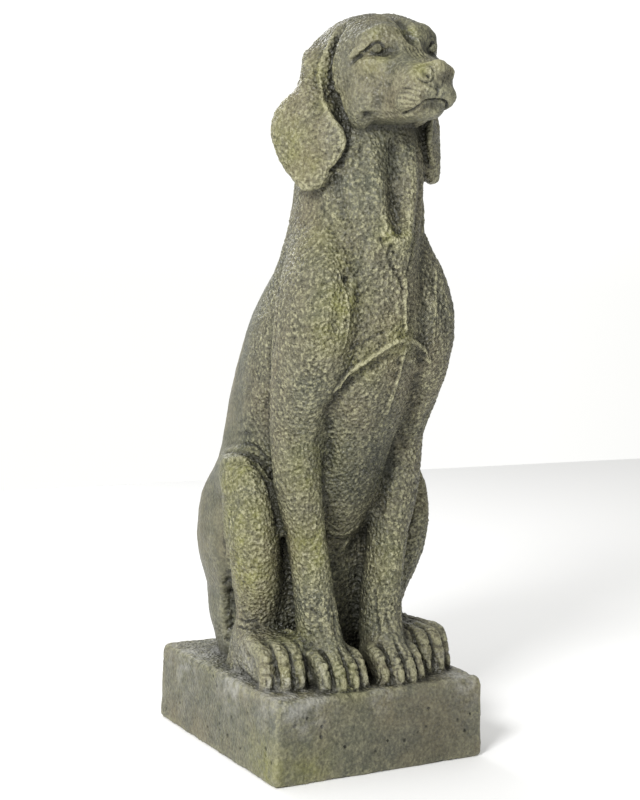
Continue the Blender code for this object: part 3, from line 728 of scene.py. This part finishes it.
# Dark spots: stain left on thickest at the crown and forehead; painted shade under the belly, in the
# eyes, mouth corners, throat and thigh groove and on the far breast; and darker paint elsewhere on
# the head and on the flank, thigh, far side, back and the plinth's faces.
STAIN_AND_SHADE = (
    ((0.0, -9.5, 68.5), 5.0, 1.1), ((-3.4, -6.0, 67.5), 4.0, 0.8), ((-4.6, -11.4, 63.0), 2.2, 0.5),
    ((-0.4, -14.0, 52.0), 2.6, 0.25), ((6.4, -12.0, 38.0), 3.5, 0.4), ((0.0, -9.0, 22.0), 6.0, 1.0),
    ((-8.4, -0.6, 27.0), 5.0, 0.5), ((-10.0, 5.0, 15.0), 6.0, 0.3), ((-10.4, 1.4, 9.0), 2.2, 1.2),
    ((9.0, 2.0, 22.0), 6.0, 0.4), ((0.0, 9.0, 34.0), 7.0, 0.35), ((2.0, 12.0, 10.0), 6.0, 0.35),
    ((6.0, -14.3, -5.0), 5.0, 0.8), ((-12.4, 4.0, -5.0), 5.0, 0.3), ((0.0, 14.3, -4.0), 6.0, 0.4),
    ((-3.3, -15.3, 64.1), 0.8, 1.7), ((3.3, -15.3, 63.5), 0.8, 1.7),
    ((-3.8, -14.6, 57.8), 0.6, 3.0), ((3.8, -14.6, 57.1), 0.6, 3.0),
    ((-2.6, -13.4, 66.8), 3.0, 0.75), ((-3.6, -14.5, 61.0), 4.0, 0.3),
)
# Painted sheen: where the plinth's top is painted lighter for the sheen of its flat face.
PAINTED_SHEEN = (
    ((-9.5, -12.0, 0.0), 3.4, 0.9), ((-10.5, -4.0, 0.0), 3.4, 0.9), ((10.5, -12.5, 0.0), 2.6, 0.7),
    ((0.0, -14.0, 0.0), 2.0, 0.5), ((9.0, 11.0, 0.0), 4.0, 0.6), ((-11.0, 8.0, 0.0), 4.0, 0.6),
)
places = (at - np.array([0, 0, PLINTH_TOP])) / MODULE
for name, spots in (("moss", MOSS), ("stain_and_shade", STAIN_AND_SHADE), ("painted_sheen", PAINTED_SHEEN)):
    cover = np.zeros(len(at))
    for place, reach, strength in spots:
        gap = np.linalg.norm(places - np.array(place), axis=1) / reach
        cover = np.maximum(cover, strength * np.exp(-(gap**2)))
    keep_on_skin(hound, name, cover)
bpy.ops.object.select_all(action="DESELECT")
hound.select_set(True)
bpy.context.view_layer.objects.active = hound
bpy.ops.object.shade_smooth()

# Stained cast stone
# Cast stone is matt and sandy. This one is painted grey-green in brownish and cooler patches, with
# a thin dark stain in every hollow that paints in their shade as well, painted shade where parts
# shelter each other, light dry-brushed on the ridges, a painted sheen on the plinth's top, and a
# sealer's low sheen.
stone = bpy.data.materials.new("stained cast stone")
stone.use_nodes = True
tree = stone.node_tree
shader = tree.nodes["Principled BSDF"]


def linear(code):
    """An sRGB hex colour as linear values."""
    parts = [int(code[i : i + 2], 16) / 255 for i in (1, 3, 5)]
    return (*[p / 12.92 if p <= 0.04045 else ((p + 0.055) / 1.055) ** 2.4 for p in parts], 1)


def add(tree, kind, settings, links, result=0):
    """Adds a node whose inputs are values or other nodes' outputs, and gives one of its outputs."""
    node = tree.nodes.new("ShaderNode" + kind)
    for key, value in settings.items():
        setattr(node, key, value)
    for key, value in links.items():
        if isinstance(value, bpy.types.NodeSocket):
            tree.links.new(value, node.inputs[key])
        else:
            node.inputs[key].default_value = value
    return node.outputs[result]


where = add(tree, "TexCoord", {}, {}, "Object")
skin = {}
for name in ("fine", "broad", "tooled", "moss", "stain_and_shade", "painted_sheen"):
    skin[name] = add(tree, "Attribute", {"attribute_name": name}, {}, "Fac")
# Clouds that break up each coat: spot size in millimetres, detail and roughness. The flecks and
# the grain stand for the sand's own, which is finer than the picture shows.
CLOUDS = {
    "brownish patches": (60, 3.0, 0.55),
    "cooler patches": (45, 3.0, 0.55),
    "dark mottling": (22, 5.0, 0.65),
    "thick stain and shade": (16, 4.0, 0.6),
    "sheen": (14, 3.0, 0.55),
    "pale mottling": (9, 3.0, 0.55),
    "painted sheen patchiness": (8, 4.0, 0.65),
    "moss edge": (7, 3.0, 0.55),
    "moss tone": (5, 3.0, 0.55),
    "flecks": (1.9, 2.0, 0.65),
    "grain": (1.5, 2.0, 0.55),
}
cloud = {}
for name, (spot_mm, detail, rough) in CLOUDS.items():
    settings = {"Vector": where, "Scale": 500 / spot_mm, "Detail": detail, "Roughness": rough}
    cloud[name] = add(tree, "TexNoise", {}, settings, "Fac")
# The finest tooling is too small for the skin's faces, so its dents of 3 to 4 mm are drawn.
DENTS_PER_METRE = 290
dents = add(tree, "TexVoronoi", {"feature": "SMOOTH_F1"}, {
    "Vector": where, "Scale": DENTS_PER_METRE, "Smoothness": 0.5, "Randomness": 1.0,
}, "Distance")
# Painted shade: ambient occlusion darkens the paint where parts of the casting shelter each other.
PAINTED_SHADE_REACH = 0.05
painted_occlusion_shade = add(tree, "AmbientOcclusion", {"samples": 4, "only_local": True}, {
    "Distance": PAINTED_SHADE_REACH,
}, "AO")
# Each share: its source, the values where it starts and ends, and what it is there.
shares = {}
for name, source, low, high, at_low, at_high in (
    ("cooler", cloud["cooler patches"], 0.5, 0.66, 0.0, 0.8),
    ("plainly cast", skin["tooled"], 0.3, 1.0, 1.0, 0.35),
    ("moss tone", cloud["moss tone"], 0.35, 0.65, 0.0, 1.0),
    ("moss edge", cloud["moss edge"], 0.3, 0.6, 0.25, 1.0),
    ("light flecks", cloud["flecks"], 0.38, 0.62, -0.65, 0.65),
    ("dark flecks", cloud["flecks"], 0.38, 0.62, 0.5, -0.5),
    ("brushed", skin["tooled"], 0.2, 1.0, 0.35, 1.0),
    ("dented", skin["tooled"], 0.2, 1.0, 0.2, 1.0),
    ("hammered", skin["tooled"], 0.2, 1.0, 0.25, 1.0),
    ("in dents", dents, 0.05, 0.4, 0.5, -0.2),
    ("thick stain and shade", cloud["thick stain and shade"], 0.35, 0.65, 0.6, 1.2),
    ("painted sheen patchiness", cloud["painted sheen patchiness"], 0.4, 0.6, 0.1, 1.0),
    ("roughness", cloud["sheen"], 0.3, 0.7, 0.36, 0.6),
):
    shares[name] = add(tree, "MapRange", {}, {
        "Value": source, "From Min": low, "From Max": high, "To Min": at_low, "To Max": at_high,
    }, "Result")
# What stands out and what lies deep, from the fine and the broad relief.
lit = add(tree, "Math", {"operation": "MULTIPLY_ADD"}, {
    0: skin["fine"], 1: 0.6, 2: shares["light flecks"],
})
lit = add(tree, "Math", {"operation": "MULTIPLY_ADD"}, {0: skin["broad"], 1: 0.4, 2: lit})
# What lies deep is darkened for the stain wash and for the shade that falls in the hollows.
sunk = add(tree, "Math", {"operation": "MULTIPLY_ADD"}, {
    0: shares["in dents"], 1: shares["dented"], 2: shares["dark flecks"],
})
sunk = add(tree, "Math", {"operation": "MULTIPLY_ADD"}, {0: skin["fine"], 1: -0.6, 2: sunk})
sunk = add(tree, "Math", {"operation": "MULTIPLY_ADD"}, {0: skin["broad"], 1: -0.8, 2: sunk})
covers = {}
for name, first, second in (
    ("cooler", shares["cooler"], shares["plainly cast"]),
    ("moss", skin["moss"], shares["moss edge"]),
    ("stain_and_shade", skin["stain_and_shade"], shares["thick stain and shade"]),
    ("painted_sheen", skin["painted_sheen"], shares["painted sheen patchiness"]),
):
    covers[name] = add(tree, "Math", {"operation": "MULTIPLY"}, {0: first, 1: second})
moss_green = add(tree, "Mix", {"data_type": "RGBA"}, {
    "Factor": shares["moss tone"], 6: linear("#706f3c"), 7: linear("#8f8f4c"),
}, 2)
# The coats in the order they are mixed, the last four with stain, painted shade and a painted sheen:
# what each goes by, the values where it starts and ends, its strength there, what holds it back, and
# its colour.
paint = linear("#565747")
for source, low, high, at_low, at_high, held_by, colour in (
    (cloud["brownish patches"], 0.42, 0.6, 0.0, 1.0, None, linear("#6c654f")),
    (covers["cooler"], 0.0, 1.0, 0.0, 1.0, None, linear("#565a55")),
    (cloud["dark mottling"], 0.45, 0.62, 0.0, 0.45, None, linear("#454638")),
    (cloud["pale mottling"], 0.35, 0.7, 0.0, 0.5, None, linear("#7d7963")),
    (covers["moss"], 0.0, 0.9, 0.0, 0.75, None, moss_green),
    (lit, 0.1, 1.3, 0.0, 0.85, shares["brushed"], linear("#aeab88")),
    # Dark stain wash in the hollows, which also paints the shade that falls in them.
    (sunk, 0.05, 1.2, 0.0, 0.85, None, linear("#2a2a20")),
    # Dark spots of stain and of painted shade.
    (covers["stain_and_shade"], 0.0, 1.6, 0.0, 0.85, None, linear("#303128")),
    # Painted sheen on the plinth's top.
    (covers["painted_sheen"], 0.05, 0.9, 0.0, 0.8, None, linear("#b4b3ad")),
    # Painted shade where parts shelter each other.
    (painted_occlusion_shade, 0.25, 0.8, 0.8, 0.0, None, linear("#26261d")),
):
    laid = add(tree, "MapRange", {}, {
        "Value": source, "From Min": low, "From Max": high, "To Min": at_low, "To Max": at_high,
    }, "Result")
    if held_by:
        laid = add(tree, "Math", {"operation": "MULTIPLY"}, {0: laid, 1: held_by})
    paint = add(tree, "Mix", {"data_type": "RGBA"}, {"Factor": laid, 6: paint, 7: colour}, 2)
# Dents and grain as bump, their heights in metres.
DENT_HEIGHT = 0.004
GRAIN_HEIGHT = 0.0012
hammered = add(tree, "Math", {"operation": "MULTIPLY"}, {0: dents, 1: shares["hammered"]})
bumps = add(tree, "Bump", {}, {"Height": hammered, "Strength": 1.0, "Distance": DENT_HEIGHT})
bumps = add(tree, "Bump", {}, {
    "Height": cloud["grain"], "Strength": 0.7, "Distance": GRAIN_HEIGHT, "Normal": bumps,
})
tree.links.new(paint, shader.inputs["Base Color"])
tree.links.new(shares["roughness"], shader.inputs["Roughness"])
tree.links.new(bumps, shader.inputs["Normal"])
hound.data.materials.append(stone)

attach(hound, "root")
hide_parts("dog_statue")

# Floor and light
# A wide pale floor that ends behind the hound, where a white backdrop takes over, a large soft
# lamp from the upper left, and a weaker one behind that lights the crown, knee and plinth's top.
FLOOR_SIZE = 60
FLOOR_BEHIND = 2
FLOOR_DROP = 0.0003
bpy.ops.mesh.primitive_plane_add(
    size=FLOOR_SIZE, location=(0, FLOOR_BEHIND - FLOOR_SIZE / 2, -FLOOR_DROP)
)
floor = bpy.context.object
floor.name = "floor"
matt = bpy.data.materials.new("pale matt floor paint")
matt.use_nodes = True
floor_shader = matt.node_tree.nodes["Principled BSDF"]
floor_shader.inputs["Base Color"].default_value = linear("#ffffff")
floor_shader.inputs["Roughness"].default_value = 0.95
floor.data.materials.append(matt)

# The room is bright at the hound's left and behind it, dim at the lamp's side so that the lamp
# models the form, and glows where the backdrop hangs. Directions point away from the hound.
BRIGHT_SIDE = (-0.6, 0.8, 0.1)
DIM_LIGHT = 0.36
BRIGHT_LIGHT = 0.85
LIGHT_AT_FLOOR = 0.83
LIGHT_OVERHEAD = 1.05
BACKDROP_SIDE = (0.49, 0.87, 0.0)
BACKDROP_GLOW = 0.35
world = bpy.data.worlds.new("studio")
bpy.context.scene.world = world
world.use_nodes = True
room = world.node_tree
away = add(room, "TexCoord", {}, {}, "Generated")
side = add(room, "VectorMath", {"operation": "DOT_PRODUCT"}, {0: away, 1: BRIGHT_SIDE}, "Value")
side = add(room, "MapRange", {}, {
    "Value": side, "From Min": -0.5, "From Max": 0.25, "To Min": DIM_LIGHT, "To Max": BRIGHT_LIGHT,
}, "Result")
rise = add(room, "SeparateXYZ", {}, {0: away}, "Z")
rise = add(room, "MapRange", {}, {
    "Value": rise, "From Max": 0.2, "To Min": LIGHT_AT_FLOOR, "To Max": LIGHT_OVERHEAD,
}, "Result")
glow = add(room, "VectorMath", {"operation": "DOT_PRODUCT"}, {0: away, 1: BACKDROP_SIDE}, "Value")
glow = add(room, "MapRange", {}, {
    "Value": glow, "From Min": 0.86, "From Max": 0.95, "To Min": 0.0, "To Max": BACKDROP_GLOW,
}, "Result")
strength = add(room, "Math", {"operation": "MULTIPLY_ADD"}, {0: side, 1: rise, 2: glow})
room.links.new(strength, room.nodes["Background"].inputs["Strength"])
room.nodes["Background"].inputs["Color"].default_value = linear("#fafaf8")


def softbox(name, place, width, watts):
    """A square soft lamp turned to the middle of the hound; place and width in metres."""
    bpy.ops.object.light_add(type="AREA", location=place)
    lamp = bpy.context.object
    lamp.name = name
    lamp.data.shape = "SQUARE"
    lamp.data.size = width
    lamp.data.energy = watts
    aim = Vector((0, 0, 0.4))
    lamp.rotation_euler = (aim - Vector(place)).to_track_quat("-Z", "Y").to_euler()


softbox("key", (-1.85, -1.4, 1.75), 0.6, 59)
softbox("rim", (0.0, 1.9, 1.7), 0.9, 15)
bpy.context.scene.view_settings.view_transform = "Standard"
